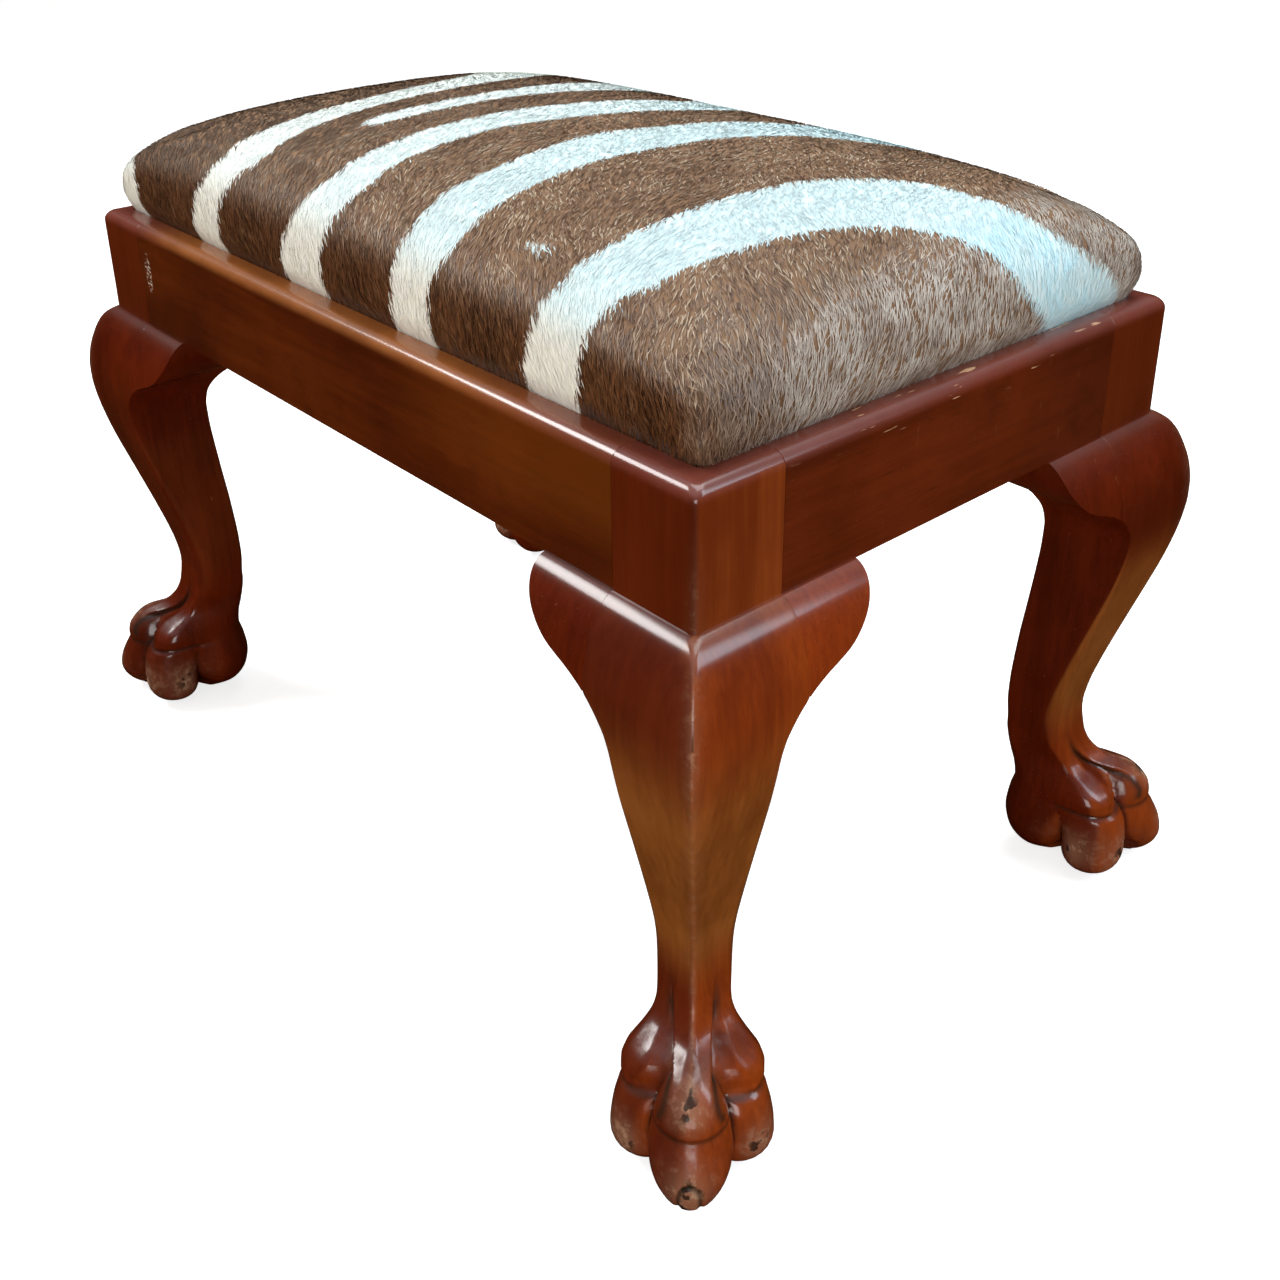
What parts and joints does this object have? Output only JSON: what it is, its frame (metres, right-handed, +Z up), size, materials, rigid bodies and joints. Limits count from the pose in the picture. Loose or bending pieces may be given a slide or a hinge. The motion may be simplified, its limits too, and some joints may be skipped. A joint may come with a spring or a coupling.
{
  "type": "upholstered stool",
  "caption": "Rectangular footstool: polished wood rails on cabriole legs with carved paw feet, and a loose drop-in seat under striped short-haired hide.",
  "frame": {"origin": "on the floor, under the middle of the frame", "axes": "+X along the long rails, +Y from the front to the back, +Z up"},
  "size_m": [0.6262, 0.4092, 0.4357],
  "materials": {
    "polished_mahogany": "glossy French polish",
    "pale_hardwood": "bare planed wood",
    "jute_webbing": "woven jute strap",
    "hessian": "coarse plain weave",
    "hair_stuffing": "curled hair pad",
    "cotton_wadding": "soft felted cotton",
    "striped_hide": "short-haired hide, brown and cream stripes",
    "dust_cloth": "plain black cotton",
    "steel": "blued steel"
  },
  "bodies": {
    "frame": {"leg_front_left": "polished_mahogany", "leg_front_right": "polished_mahogany", "leg_back_left": "polished_mahogany", "leg_back_right": "polished_mahogany", "knee_block_long_front_left": "polished_mahogany", "knee_block_long_front_right": "polished_mahogany", "knee_block_long_back_left": "polished_mahogany", "knee_block_long_back_right": "polished_mahogany", "knee_block_short_front_left": "polished_mahogany", "knee_block_short_front_right": "polished_mahogany", "knee_block_short_back_left": "polished_mahogany", "knee_block_short_back_right": "polished_mahogany", "front_rail": "polished_mahogany", "back_rail": "polished_mahogany", "left_rail": "polished_mahogany", "right_rail": "polished_mahogany", "corner_block_front_left": "pale_hardwood", "corner_block_front_right": "pale_hardwood", "corner_block_back_left": "pale_hardwood", "corner_block_back_right": "pale_hardwood", "corner_block_screws": "steel"},
    "drop_in_seat": {"seat_frame_front": "pale_hardwood", "seat_frame_back": "pale_hardwood", "seat_frame_left": "pale_hardwood", "seat_frame_right": "pale_hardwood", "webbing_lengthwise": "jute_webbing", "webbing_crosswise": "jute_webbing", "webbing_tacks": "steel", "hessian_platform": "hessian", "seat_stuffing": "hair_stuffing", "wadding_layer": "cotton_wadding", "hide_cover": "striped_hide", "cover_tacks": "steel", "dust_cover": "dust_cloth", "dust_cover_tacks": "steel"}
  },
  "joints": [
    {"name": "seat_lift_out", "type": "slide", "parent": "frame", "child": "drop_in_seat", "axis": [0, 0, 1], "range_m": [0, 0.15]}
  ]
}
